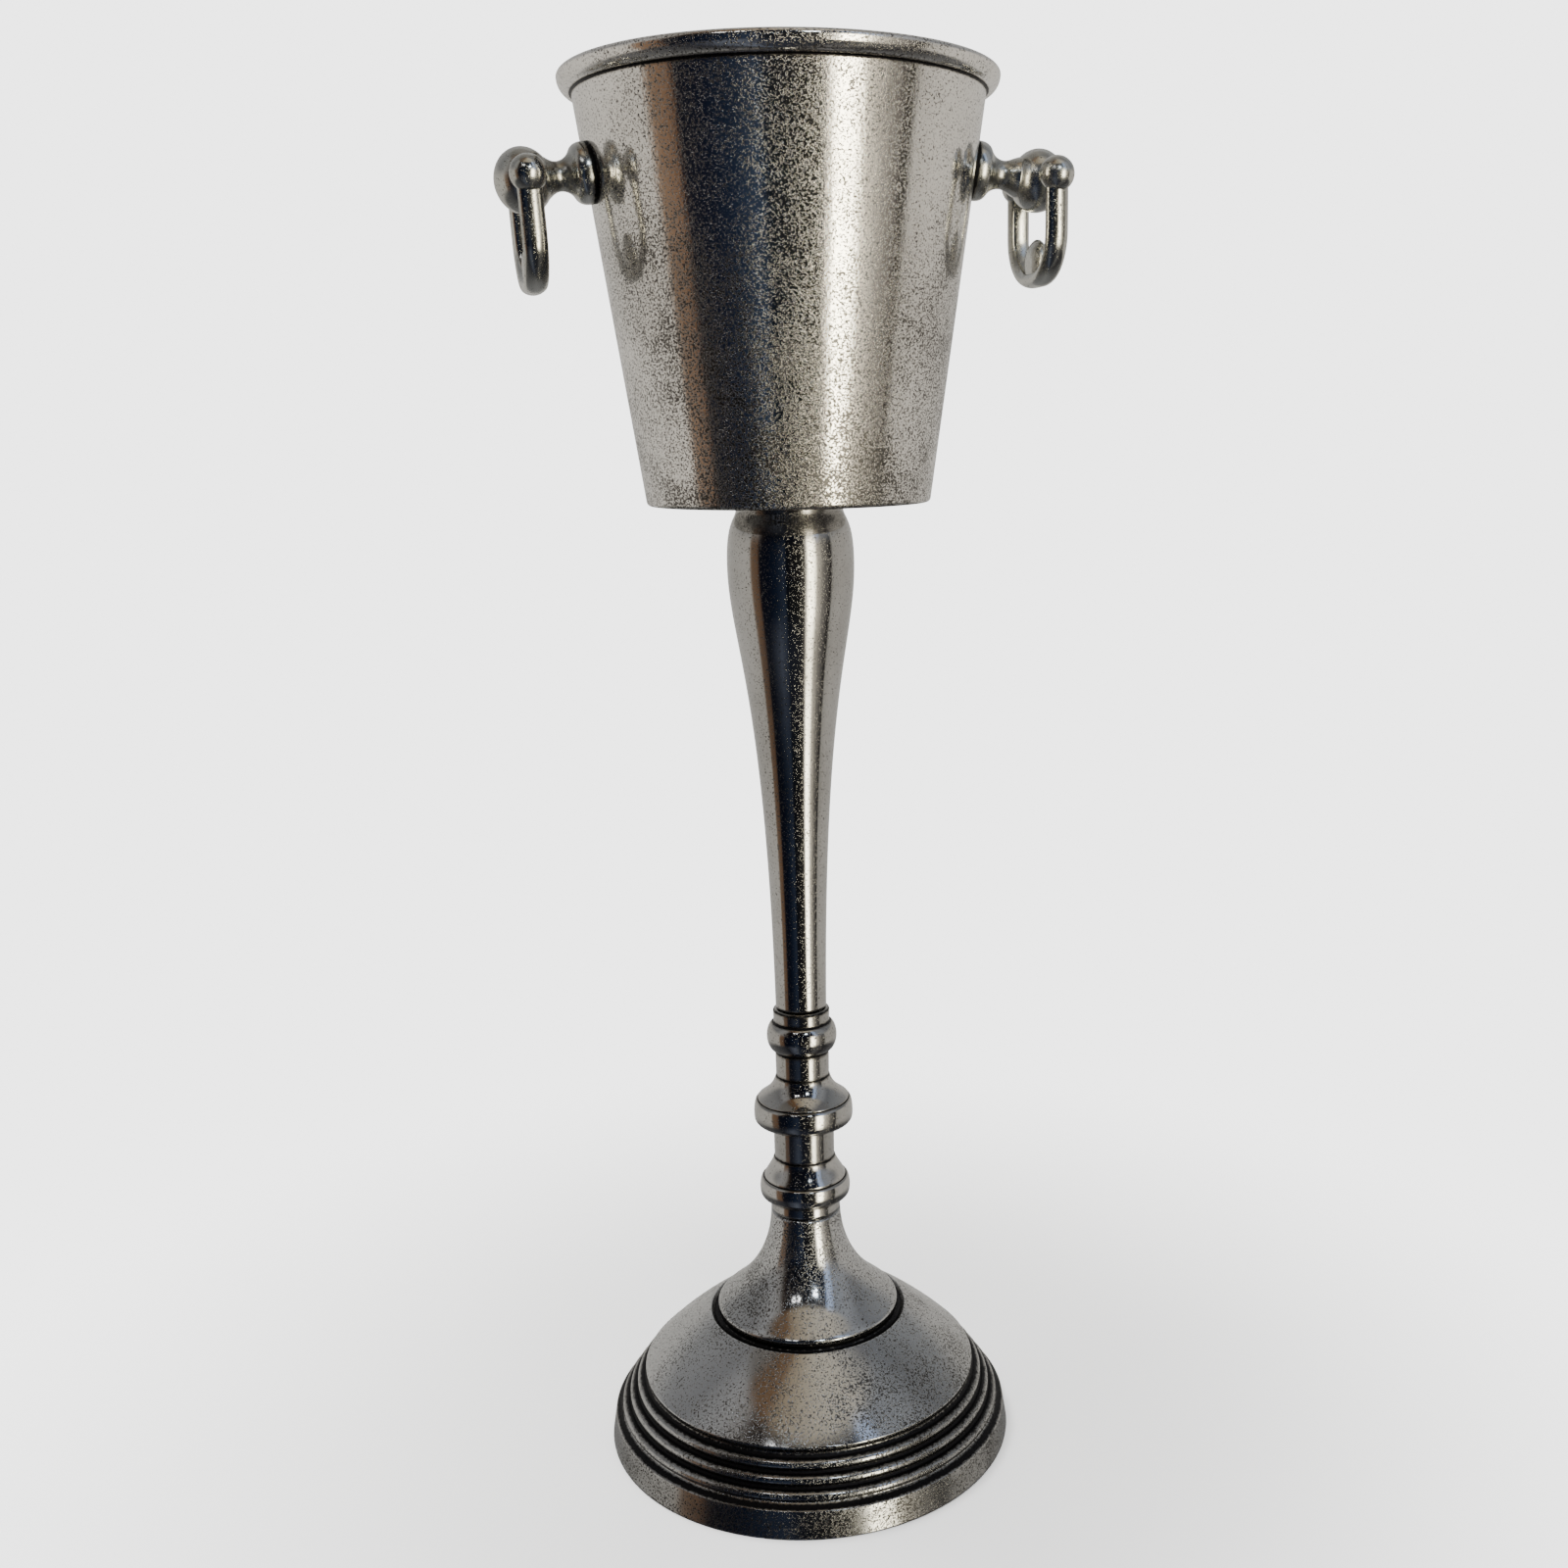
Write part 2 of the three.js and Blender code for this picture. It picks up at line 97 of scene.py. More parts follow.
BALUSTER_FOOT_RADIUS = 14.6
BALUSTER_TAPER_PULLS = ((16.7, 451.6), (34.7, 471.8))
BALUSTER_WIDEST = (34.7, 516)
BALUSTER_SHOULDER_PULLS = ((34.7, 542.6), (27.6, 539.8))
BALUSTER_TOP_RADIUS = 29.4

BUCKET_FLOOR_RADIUS = 76.2        # outside, at the bottom
BUCKET_FOOT_CORNER = 2.5          # rounding of the bucket's lower edge
BUCKET_INNER_CORNER = 5
BUCKET_WALL_TOP = (106.3, 754.6)
BUCKET_WALL_END_Z = 753.7         # where the straight wall turns into the crease under the rim
BUCKET_WALL = 3.5
BUCKET_FLOOR = 4.2
RIM_CREASE = ((106.15, 754.7), (106.6, 755.2))
RIM_NECK_RADIUS = 106.7
RIM_DROP = 7.6                    # half height of the round below the rim's widest point
RIM_WIDEST_Z = 762.4
RIM_OUTER_EDGE = 4                # widths of the rounds on the rim's top
RIM_INNER_EDGE = 2.6
SEAT_RADIUS = 17.0                # raised seat for the seal in the bucket's floor
SEAT_HEIGHT = 1.2


# ---- outlines ----
def arc(cx, cy, rx, ry, start, end, steps):
    """Points on an ellipse about (cx, cy), angles in degrees."""
    turns = [math.radians(start + (end - start) * i / steps) for i in range(steps + 1)]
    return [(cx + rx * math.cos(t), cy + ry * math.sin(t)) for t in turns]


def bezier(a, b, c, d, steps):
    points = []
    for i in range(steps + 1):
        t = i / steps
        u = 1 - t
        weights = (u ** 3, 3 * u * u * t, 3 * u * t * t, t ** 3)
        points.append(tuple(sum(w * p[k] for w, p in zip(weights, (a, b, c, d))) for k in (0, 1)))
    return points


def line(a, b, steps):
    return [(a[0] + (b[0] - a[0]) * i / steps, a[1] + (b[1] - a[1]) * i / steps) for i in range(steps + 1)]


def rounded(points, radius, steps=4):
    """The outline with each inner corner replaced by a small curve."""
    result = [points[0]]
    for before, corner, after in zip(points, points[1:], points[2:]):
        corner = Vector(corner)
        back, ahead = Vector(before) - corner, Vector(after) - corner
        reach = min(radius, back.length * 0.45, ahead.length * 0.45)
        start = corner + back.normalized() * reach
        end = corner + ahead.normalized() * reach
        for i in range(steps + 1):
            t = i / steps
            result.append(tuple(start * (1 - t) ** 2 + corner * (2 * t * (1 - t)) + end * t * t))
    result.append(points[-1])
    return result


# ---- mesh building ----
def mesh_object(name, verts, faces, patina_and_shade=None, smooth=True):
    mesh = bpy.data.meshes.new(name)
    mesh.from_pydata(verts, [], faces)
    mesh.validate()
    if patina_and_shade is not None:
        layer = mesh.attributes.new("patina_and_shade", "FLOAT", "POINT")
        layer.data.foreach_set("value", patina_and_shade)
    bm = bmesh.new()
    bm.from_mesh(mesh)
    bmesh.ops.recalc_face_normals(bm, faces=bm.faces)
    bm.to_mesh(mesh)
    bm.free()
    mesh.polygons.foreach_set("use_smooth", [smooth] * len(mesh.polygons))
    obj = bpy.data.objects.new(name, mesh)
    bpy.context.scene.collection.objects.link(obj)
    return obj


FINE_STEP, MOST_STEPS = 0.7, 24


def spread(outline, creases):
    """Splits the outline finely near its creases, and gives each point its patina and painted shade.

    The value is 1 in a full crease and 0 far off. A crease is (radius, height, strength, reach), with
    its lengths in millimetres. Most are black patina in hollows; some paint shade or dark reflections
    instead.
    """
    def depth(point):
        return max((strength * max(0.0, 1.0 - math.dist(point, (r, z)) / reach)
                    for r, z, strength, reach in creases), default=0.0)

    fine = [outline[0]]
    for a, b in zip(outline, outline[1:]):
        gap = math.dist(a, b)
        near = any(min(math.dist(a, (r, z)), math.dist(b, (r, z))) < gap + reach
                   for r, z, _, reach in creases)
        steps = min(MOST_STEPS, math.ceil(gap / FINE_STEP)) if near and gap > FINE_STEP else 1
        fine += line(a, b, steps)[1:]
    return fine, [depth(point) for point in fine]


def turned(name, outline, around, closed=True, creases=()):
    """Turns an outline of (radius, height) in millimetres about Z. Points on the axis become one vertex."""
    outline, patina_and_shade = spread(outline, creases)
    verts, values, rows = [], [], []
    for (radius, height), value in zip(outline, patina_and_shade):
        if radius < 1e-4:
            rows.append([len(verts)])
            verts.append((0, 0, height * MM))
            values.append(value)
            continue
        rows.append(list(range(len(verts), len(verts) + around)))
        for k in range(around):
            turn = 2 * math.pi * k / around
            verts.append((radius * MM * math.cos(turn), radius * MM * math.sin(turn), height * MM))
            values.append(value)
    faces = []
    pairs = list(zip(rows, rows[1:]))
    if closed and len(rows[0]) > 1 and len(rows[-1]) > 1:
        pairs.append((rows[-1], rows[0]))
    for low, high in pairs:
        for k in range(around):
            m = (k + 1) % around
            if len(low) == 1 and len(high) == 1:
                continue
            if len(low) == 1:
                faces.append((low[0], high[m], high[k]))
            elif len(high) == 1:
                faces.append((low[k], low[m], high[0]))
            else:
                faces.append((low[k], low[m], high[m], high[k]))
    return mesh_object(name, verts, faces, values)


def join(name, objects):
    with bpy.context.temp_override(active_object=objects[0], object=objects[0], selected_objects=objects,
                                   selected_editable_objects=objects):
        bpy.ops.object.join()
    joined = objects[0]
    joined.name = name
    joined.data.name = name
    return joined


def place(obj, matrix):
    obj.data.transform(matrix)
    return obj


# ---- materials ----
class Nodes:
    """Short forms for building a node material."""

    def __init__(self, name):
        self.material = bpy.data.materials.new(name)
        self.material.use_nodes = True
        self.tree = self.material.node_tree
        self.shader = self.tree.nodes["Principled BSDF"]
        self.place = self.new("ShaderNodeTexCoord").outputs["Object"]

    def new(self, kind, **settings):
        node = self.tree.nodes.new(kind)
        for key, value in settings.items():
            setattr(node, key, value)
        return node

    def link(self, value, socket):
        if isinstance(value, bpy.types.NodeSocket):
            self.tree.links.new(value, socket)
        else:
            socket.default_value = value

    def stretched(self, scale):
        node = self.new("ShaderNodeMapping")
        self.link(self.place, node.inputs["Vector"])
        node.inputs["Scale"].default_value = scale
        return node.outputs["Vector"]

    def noise(self, scale, detail=3.0, roughness=0.55, vector=None):
        node = self.new("ShaderNodeTexNoise")
        self.link(vector or self.place, node.inputs["Vector"])
        node.inputs["Scale"].default_value = scale
        node.inputs["Detail"].default_value = detail
        node.inputs["Roughness"].default_value = roughness
        return node.outputs["Fac"]

    def math(self, operation, a, b=0.0, clamp=False):
        node = self.new("ShaderNodeMath", operation=operation, use_clamp=clamp)
        self.link(a, node.inputs[0])
        self.link(b, node.inputs[1])
        return node.outputs[0]

    def ramp(self, value, low, high, out_low=0.0, out_high=1.0):
        node = self.new("ShaderNodeMapRange", interpolation_type="SMOOTHSTEP")
        for socket, number in zip(node.inputs[:5], (value, low, high, out_low, out_high)):
            self.link(number, socket)
        return node.outputs["Result"]

    def mix(self, factor, a, b):
        node = self.new("ShaderNodeMix", data_type="RGBA")
        self.link(factor, node.inputs["Factor"])
        self.link(a, node.inputs["A"])
        self.link(b, node.inputs["B"])
        return node.outputs["Result"]

    def attribute(self, name):
        return self.new("ShaderNodeAttribute", attribute_name=name).outputs["Fac"]

    def bump(self, height, strength, distance):
        node = self.new("ShaderNodeBump")
        self.link(height, node.inputs["Height"])
        node.inputs["Strength"].default_value = strength
        node.inputs["Distance"].default_value = distance
        self.link(node.outputs["Normal"], self.shader.inputs["Normal"])


PIT_COLOUR = (0.040, 0.036, 0.032, 1)
# black for the patina in hollows, and for the painted shade under the collars and the painted darkening of
# the foot band and bead crowns
PATINA_AND_SHADE_COLOUR = (0.010, 0.010, 0.012, 1)
DULLING = (0.47, 0.455, 0.43)     # tarnished metal against bright metal
CLOUD_SCALE, PATCH_SCALE, PIT_SCALE, BLOTCH_SCALE, RAGGED_SCALE = 9.0, 42.0, 860.0, 330.0, 420.0
GRAIN_SCALE, WAVE_SCALE, WEAR_SCALE = 640.0, 120.0, 60.0
PIT_LEVEL, PIT_FALL = 0.635, 0.095       # where the noise is cut off, and its fall with the density
BLOTCH_LEVEL, BLOTCH_FALL = 0.685, 0.06
RELIEF_HEIGHT = 0.00028


def antiqued_metal(name, bright, pits, clouds, roughness, grain, pit_low=None):
    """Polished cast metal with black fine pits, cloudy tarnish and black hollows.

    pits is how much of the surface is pitted, clouds how strong the tarnish is, grain how uneven the
    polish is; pit_low is a pair of heights between which the pits thin out upwards.
    """
    n = Nodes(name)
    cloud = n.noise(CLOUD_SCALE, 5.0, 0.62)
    patch = n.ramp(n.noise(PATCH_SCALE, 4.0, 0.65), 0.46, 0.66)
    clouded = n.ramp(cloud, 0.36, 0.62, 0.50 * pits, pits)
    density = n.math("ADD", clouded, n.math("MULTIPLY", patch, 0.35 * pits))
    if pit_low:
        height = n.new("ShaderNodeSeparateXYZ")
        n.link(n.place, height.inputs[0])
        density = n.math("MULTIPLY", density, n.ramp(height.outputs["Z"], *pit_low, 1.2, 0.7))
    # fine pits: noise cut off at a level that falls where the pitting is dense, and rarer larger ones
    fine = n.noise(PIT_SCALE, 3.0, 0.68, n.stretched((1.0, 1.0, 1.2)))
    level = n.math("SUBTRACT", PIT_LEVEL, n.math("MULTIPLY", density, PIT_FALL))
    pit = n.math("MULTIPLY", n.math("SUBTRACT", fine, level), 18.0, clamp=True)
    coarse = n.noise(BLOTCH_SCALE, 4.0, 0.78)
    coarse_level = n.math("SUBTRACT", BLOTCH_LEVEL, n.math("MULTIPLY", density, BLOTCH_FALL))
    blotch = n.math("MULTIPLY", n.math("SUBTRACT", coarse, coarse_level), 14.0, clamp=True)
    speck = n.math("MAXIMUM", pit, blotch)
    # hollows and painted shade: the patina and painted shade of each point, black with a ragged edge, and
    # duller further out
    ragged = n.noise(RAGGED_SCALE, 3.0, 0.7)
    patina_and_shade_depth = n.attribute("patina_and_shade")
    edge = n.math("MULTIPLY", n.math("SUBTRACT", ragged, 0.5), 0.9)
    black = n.ramp(n.math("ADD", patina_and_shade_depth, edge), 0.30, 0.56)
    tarnish = n.math("MULTIPLY", n.ramp(cloud, 0.42, 0.68), clouds)
    # the patina and the painted shade and darkening also dull the metal round them
    tarnish = n.math("ADD", tarnish, n.math("MULTIPLY", patina_and_shade_depth, 2.0), clamp=True)
    dull = [c * k for c, k in zip(bright, DULLING)]
    base = n.mix(tarnish, (*bright, 1), (*dull, 1))
    base = n.mix(n.math("MULTIPLY", speck, 0.90), base, PIT_COLOUR)
    base = n.mix(n.math("MULTIPLY", black, 0.97), base, PATINA_AND_SHADE_COLOUR)
    n.link(base, n.shader.inputs["Base Color"])
    worn = n.ramp(n.noise(WEAR_SCALE, 4.0), 0.35, 0.7, roughness * 0.75, roughness * 1.4)
    rough = n.math("ADD", worn, n.math("MULTIPLY", n.math("ADD", speck, black, clamp=True), 0.30))
    rough = n.math("ADD", rough, n.math("MULTIPLY", n.math("MINIMUM", patina_and_shade_depth, 0.3), 0.30))
    n.link(rough, n.shader.inputs["Roughness"])
    n.shader.inputs["Metallic"].default_value = 1.0
    uneven = n.math("MULTIPLY", n.noise(GRAIN_SCALE, 2.0, 0.5), grain)
    waves = n.math("MULTIPLY", n.noise(WAVE_SCALE, 2.0, 0.5), grain * 1.1)
    relief = n.math("SUBTRACT", n.math("ADD", uneven, waves), n.math("MULTIPLY", speck, 0.35))
    n.bump(relief, 0.5, RELIEF_HEIGHT)
    return n.material


def plain_steel(name):
    n = Nodes(name)
    rub = n.noise(240.0, 3.0)
    n.link(n.mix(rub, (0.50, 0.50, 0.49, 1), (0.66, 0.66, 0.65, 1)), n.shader.inputs["Base Color"])
    n.link(n.ramp(rub, 0.3, 0.7, 0.26, 0.42), n.shader.inputs["Roughness"])
    n.shader.inputs["Metallic"].default_value = 1.0
    n.bump(n.noise(500.0, 2.0, 0.5, n.stretched((1.0, 1.0, 8.0))), 0.12, 0.0003)
    return n.material


def seal_rubber(name):
    n = Nodes(name)
    bloom = n.noise(180.0, 4.0)
    n.link(n.mix(bloom, (0.012, 0.012, 0.012, 1), (0.035, 0.034, 0.033, 1)), n.shader.inputs["Base Color"])
    n.link(n.ramp(bloom, 0.3, 0.7, 0.62, 0.85), n.shader.inputs["Roughness"])
    n.bump(n.noise(900.0, 2.0), 0.15, 0.0003)
    return n.material


PITS_THIN_OUT = (0.56, 0.74)      # metres up: the bucket is pitted more below than above
MATERIALS = {
    "bucket": antiqued_metal("bucket_metal", (0.80, 0.775, 0.735), 1.35, 0.30, 0.075, 0.36, PITS_THIN_OUT),
    "stem": antiqued_metal("stem_metal", (0.44, 0.435, 0.425), 0.45, 0.45, 0.07, 0.06),
    "base": antiqued_metal("base_metal", (0.47, 0.475, 0.48), 1.3, 0.30, 0.085, 0.03),
    "handle": antiqued_metal("handle_metal", (0.56, 0.56, 0.53), 0.30, 0.55, 0.20, 0.14),
    "steel": plain_steel("fastener_steel"),
    "rubber": seal_rubber("seal_rubber"),
}


def finish_piece(obj, node, body, material):
    """Gives a fine piece its material, hangs it on the body it moves with, and hides the frame's part that
    it stands for.
    """
    obj.data.materials.clear()
    obj.data.materials.append(MATERIALS[material])
    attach(obj, body)
    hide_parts(node)
    return obj


# ---- base ----
def base():
    foot_radius, hub = FOOT_RADIUS / MM, BASE_TOP_Z / MM
    foot_top, foot_height = FOOT_TOP
    dome_radius, dome_edge = DOME_EDGE
    pitch = ((foot_top - dome_radius) / (STEP_COUNT + 1), (foot_height - dome_edge) / (STEP_COUNT + 1))
    slope = math.degrees(math.atan2(pitch[1], pitch[0]))
    inset = math.radians(slope + 90)
    outside = rounded([(foot_radius - FOOT_RIM_WIDTH, 0), (foot_radius - 0.3, 0), (foot_radius, 0.6),
                       FOOT_TOP, (foot_top - 2.4, foot_height + 1.0)], 0.7)
    # the last spot is no crease: it is painted darkening over the foot's outer band, standing in for its
    # dark reflection
    creases = [(*outside[-1], 1.0, 3.2), (foot_radius - 1, 0.0, 0.5, 2.5), (foot_radius, 8, 0.30, 24)]
    for i in range(STEP_COUNT, 0, -1):
        crown = (dome_radius + pitch[0] * i, dome_edge + pitch[1] * i)
        centre = (crown[0] - STEP_BEAD * math.cos(inset), crown[1] - STEP_BEAD * math.sin(inset))
        outside += arc(*centre, STEP_BEAD, STEP_BEAD, slope + 12, slope + 168, 12)
        # black patina in the groove under each bead, and painted darkening over each bead's crown that
        # stands in for its dark reflection
        creases += [(*outside[-1], 1.0, 4.2), (*crown, 0.15, 8.0)]
    outside += [(dome_radius - 0.9, dome_edge - 3.4), (dome_radius - 0.3, dome_edge - 1.6)]
    middle = tuple((low + high) / 2 + DOME_PULL for low, high in zip(DOME_EDGE, DOME_TOP))
    for i in range(25):
        t = i / 24
        outside.append(tuple((1 - t) ** 2 * a + 2 * t * (1 - t) * b + t * t * c
                             for a, b, c in zip(DOME_EDGE, middle, DOME_TOP)))
    outside += GROOVE
    creases += [(54.4, 73.5, 1.0, 3.4), (52.7, 75.6, 0.9, 3.0)]
    outside += bezier(TRUMPET_LIP, *TRUMPET_PULLS, (BASE_TOP_RADIUS, hub), 40)
    socket_floor = hub - SPIGOT_LENGTH - GAP
    inside = [(SPIGOT + GAP, hub), (SPIGOT + GAP, socket_floor), (BORE, socket_floor), (BORE, HUB_BOTTOM_Z),
              *HOLLOW, (foot_radius - FOOT_RIM_WIDTH, 0)]
    obj = turned("stand_base", outside + rounded(inside, 3.0)[1:-1], AROUND, creases=creases)
    return finish_piece(obj, "base_casting", "stand", "base")


# ---- collared column ----
def column():
    low, high = COLUMN_LOW[2] / MM, COLUMN_HIGH[2] / MM
    seat = low + SPIGOT_LENGTH
    outline = [(BORE, low), (SPIGOT, low), (SPIGOT, seat), (BASE_TOP_RADIUS, seat)]
    outline += line((BASE_TOP_RADIUS, seat), LOW_NECK_TOP, 6)[1:] + [(20.4, 146.0)]
    outline += arc(*LOW_COLLAR_LIP, -80, 0, 10) + bezier(*LOW_COLLAR_BAND, 10)
    outline += [(24.3, 158.3), (23.6, 157.9)]
    outline += bezier(*LOW_COLLAR_SLOPE, 10)
    outline += line(*MIDDLE_NECK, 8) + [(17.9, 191.4), (18.8, 192.1)]
    outline += arc(*MIDDLE_COLLAR_LIP, -80, 0, 10) + bezier(*MIDDLE_COLLAR_BAND, 12)
    outline += [(26.9, 206.6), (26.1, 206.2)]
    outline += bezier(*MIDDLE_COLLAR_SLOPE, 10)
    outline += line(*HIGH_NECK, 6) + arc(*TOP_COLLAR, -75, 72, 20)
    outline += rounded([*TOP_COLLAR_CAP, (15.4, high - 0.2), (SPIGOT + GAP, high)], 0.5)
    socket_floor = high - SPIGOT_LENGTH - GAP
    outline += [(SPIGOT + GAP, socket_floor), (BORE, socket_floor)]
    # black patina in the hollows; the full spots at the tops of the necks, under the low, middle and top
    # collars, are also painted shade under the collars
    creases = [(20.6, 146.1, 1.0, 3.4), (23.6, 157.9, 0.9, 1.5), (17.7, 171.0, 0.7, 1.8),
               (18.4, 192.0, 1.0, 4.6), (26.1, 206.2, 0.9, 1.5), (15.5, 221.0, 0.7, 1.8),
               (15.7, 236.8, 1.0, 3.4), (16.3, 253.6, 0.9, 1.8), (16.2, high - 1.0, 0.7, 1.6)]
    obj = turned("stand_collars", outline, AROUND_STEM, creases=creases)
    return finish_piece(obj, "collar_column", "stand", "stem")


# ---- baluster ----
def baluster():
    low, high = BALUSTER_LOW[2] / MM, BALUSTER_HIGH[2] / MM
    seat = low + SPIGOT_LENGTH
    outline = [(BORE, low), (SPIGOT, low), (SPIGOT, seat), (BALUSTER_FOOT_RADIUS - 1, seat),
               (BALUSTER_FOOT_RADIUS - 0.3, seat + 0.4)]
    outline += bezier((BALUSTER_FOOT_RADIUS, seat + 0.9), *BALUSTER_TAPER_PULLS, BALUSTER_WIDEST, 60)
    outline += bezier(BALUSTER_WIDEST, *BALUSTER_SHOULDER_PULLS, (BALUSTER_TOP_RADIUS, high), 24)[1:]
    outline += [(BORE, high)]
    creases = [(BALUSTER_TOP_RADIUS, high, 1.0, 3.4), (BALUSTER_FOOT_RADIUS - 1, seat, 0.7, 2.0)]
    obj = turned("stand_baluster", outline, AROUND_STEM, creases=creases)
    return finish_piece(obj, "baluster_stem", "stand", "stem")


# ---- bucket ----
def wall_radius(z):
    top_radius, top_z = BUCKET_WALL_TOP
    bottom = BUCKET_LOW[2] / MM
    return BUCKET_FLOOR_RADIUS + (z - bottom) * (top_radius - BUCKET_FLOOR_RADIUS) / (top_z - bottom)


def bucket():
    low, high = BUCKET_LOW[2] / MM, BUCKET_HIGH[2] / MM
    rim = RIM_RADIUS / MM
    floor = low + BUCKET_FLOOR
    mouth = wall_radius(RIM_WIDEST_Z) - BUCKET_WALL
    inner_floor = wall_radius(floor) - BUCKET_WALL
    foot_corner, inner = BUCKET_FOOT_CORNER, BUCKET_INNER_CORNER
    outline = [(BORE, low)]
    outline += arc(BUCKET_FLOOR_RADIUS - 2.2, low + foot_corner, foot_corner, foot_corner, -90, -8, 8)
    outline += line(outline[-1], (wall_radius(BUCKET_WALL_END_Z), BUCKET_WALL_END_Z), 60)[1:]
    outline += RIM_CREASE
    outline += arc(RIM_NECK_RADIUS, RIM_WIDEST_Z, rim - RIM_NECK_RADIUS, RIM_DROP, -72, 0, 14)
    crown = high - RIM_WIDEST_Z
    outline += arc(rim - RIM_OUTER_EDGE, RIM_WIDEST_Z, RIM_OUTER_EDGE, crown, 12, 90, 8)
    outline += arc(mouth + RIM_INNER_EDGE, RIM_WIDEST_Z, RIM_INNER_EDGE, crown, 90, 180, 8)
    corner = arc(inner_floor - inner, floor + inner, inner, inner, 0, -90, 8)
    outline += line(outline[-1], corner[0], 40)[1:] + corner[1:]
    outline += rounded([corner[-1], (SEAT_RADIUS, floor), (SEAT_RADIUS, floor + SEAT_HEIGHT),
                        (BORE, floor + SEAT_HEIGHT)], 0.8)[1:]
    creases = [(BUCKET_FLOOR_RADIUS - 1.5, low, 0.5, 2.0), (106.5, 755.0, 1.0, 1.6),
               (rim - 3.4, high - 0.3, 0.55, 1.5), (inner_floor, floor + 2, 0.4, 4.0),
               (SEAT_RADIUS, floor, 0.5, 3.0)]
    obj = turned("stand_bucket", outline, AROUND, creases=creases)
    return finish_piece(obj, "bucket_shell", "stand", "bucket")


# ---- handles ----
PAD_RADIUS, NECK_RADIUS = 15.2, 7.3
PAD_SINK = 2.0                    # how far the pad goes into the bucket's wall
PAD_SHOULDER = (12.0, 8.4)        # where the pad's round edge turns into the neck
NECK_Z = 15.6                     # the neck's narrowest point, from the wall
KNUCKLE_RADIUS, KNUCKLE_HALF_LENGTH = 16.3, 14.5
LEG_SPREAD, RING_DROP = 27.5, 54.7
BAR_WIDTH, BAR_DEPTH = 12.4, 8.4
BALL_RADIUS = 9.2
RING_CORNER = 23.0                # the ring's two lower corners
BEAD_RADIUS, BEAD_THICKNESS = 12.4, 10.0
PIN_RADIUS = 3.0
HANG = {"left": -3.0, "right": 0.1}      # each ring's lean from the vertical at rest, outwards
SIDES = {"left": -1, "right": 1}
WALL_LEAN = math.atan2(BUCKET_WALL_TOP[0] - BUCKET_FLOOR_RADIUS, BUCKET_WALL_TOP[1] - BUCKET_LOW[2] / MM)


def pin_centre(label):
    """Centre of the knuckle, on the ring's hinge."""
    return Vector(JOINTS[f"{label}_ring_swing"]["pos_m"])


def boss_axis(label):
    """Matrix from a shape along +Z, with z = 0 on the bucket's wall, to its place on the boss's axis."""
    centre = pin_centre(label)
    reach = math.hypot(centre.x, centre.y)
    to_wall = knuckle_to_wall(label) * MM
    turn = Matrix.Rotation(math.atan2(centre.y, centre.x), 4, "Z")
    lean = Matrix.Rotation(math.pi / 2 + WALL_LEAN, 4, "Y")
    return turn @ Matrix.Translation((reach, 0, centre.z)) @ lean @ Matrix.Translation((0, 0, -to_wall))


def knuckle_to_wall(label):
    centre = pin_centre(label)
    return (math.hypot(centre.x, centre.y) / MM - wall_radius(centre.z / MM)) * math.cos(WALL_LEAN)


def boss(label):
    """Rounded pad, waisted neck and full round knuckle, sunk a little into the bucket's wall."""
    middle = knuckle_to_wall(label)
    outline = [(0, -PAD_SINK), (PAD_RADIUS - 0.8, -PAD_SINK), (PAD_RADIUS - 0.2, -0.4)]
    outline += bezier((PAD_RADIUS, 0.6), (PAD_RADIUS + 0.2, 4.2), (14.6, 7.0), PAD_SHOULDER, 10)
    outline += bezier(PAD_SHOULDER, (9.4, 9.8), (NECK_RADIUS + 0.2, 12.0), (NECK_RADIUS, NECK_Z), 12)[1:]
    knuckle = arc(0, middle, KNUCKLE_RADIUS, KNUCKLE_HALF_LENGTH, -50, 90, 32)
    outline += bezier((NECK_RADIUS, NECK_Z), (NECK_RADIUS - 0.1, 18.4), (9.3, 20.6), knuckle[0], 8)[1:]
    outline += knuckle[1:]
    outline[-1] = (0, outline[-1][1])
    creases = [(PAD_RADIUS, -0.6, 1.0, 3.0), (NECK_RADIUS + 1.2, 12.5, 0.30, 6.0),
               (NECK_RADIUS, 17.5, 0.30, 5.0)]
    obj = place(turned(f"boss_{label}", outline, AROUND_SMALL, creases=creases), boss_axis(label))
    return finish_piece(obj, f"handle_boss_{label}", "stand", "handle")


def bar_section():
    """Section of the ring's bar as (inwards to the ring's middle, along the boss).

    It is round outside and flatter inside.
    """
    depth, width = BAR_DEPTH / 2, BAR_WIDTH / 2
    outer = [(-x, y) for x, y in arc(0, 0, depth, width, -84, 84, 14)]
    inner = rounded([outer[-1], (depth * 0.45, width * 0.90), (depth * 0.92, width * 0.60), (depth, 0),
                     (depth * 0.92, -width * 0.60), (depth * 0.45, -width * 0.90), outer[0]], 1.2, 3)
    return outer + inner[1:-1]


def bar_path():
    """Points (y, z) and inward directions along the U from one ball to the other."""
    straight, flat = RING_DROP - BAR_DEPTH / 2 - RING_CORNER, LEG_SPREAD - RING_CORNER
    leg_steps, corner_steps = 12, 20
    path = [(-LEG_SPREAD, -straight * i / leg_steps, 1.0, 0.0) for i in range(leg_steps)]
    for start, middle in ((180, -flat), (270, flat)):
        for i in range(corner_steps + 1):
            t = math.radians(start + 90 * i / corner_steps)
            path.append((middle + RING_CORNER * math.cos(t), -straight + RING_CORNER * math.sin(t),
                         -math.cos(t), -math.sin(t)))
    path += [(LEG_SPREAD, -straight * i / leg_steps, -1.0, 0.0) for i in reversed(range(leg_steps))]
    return path


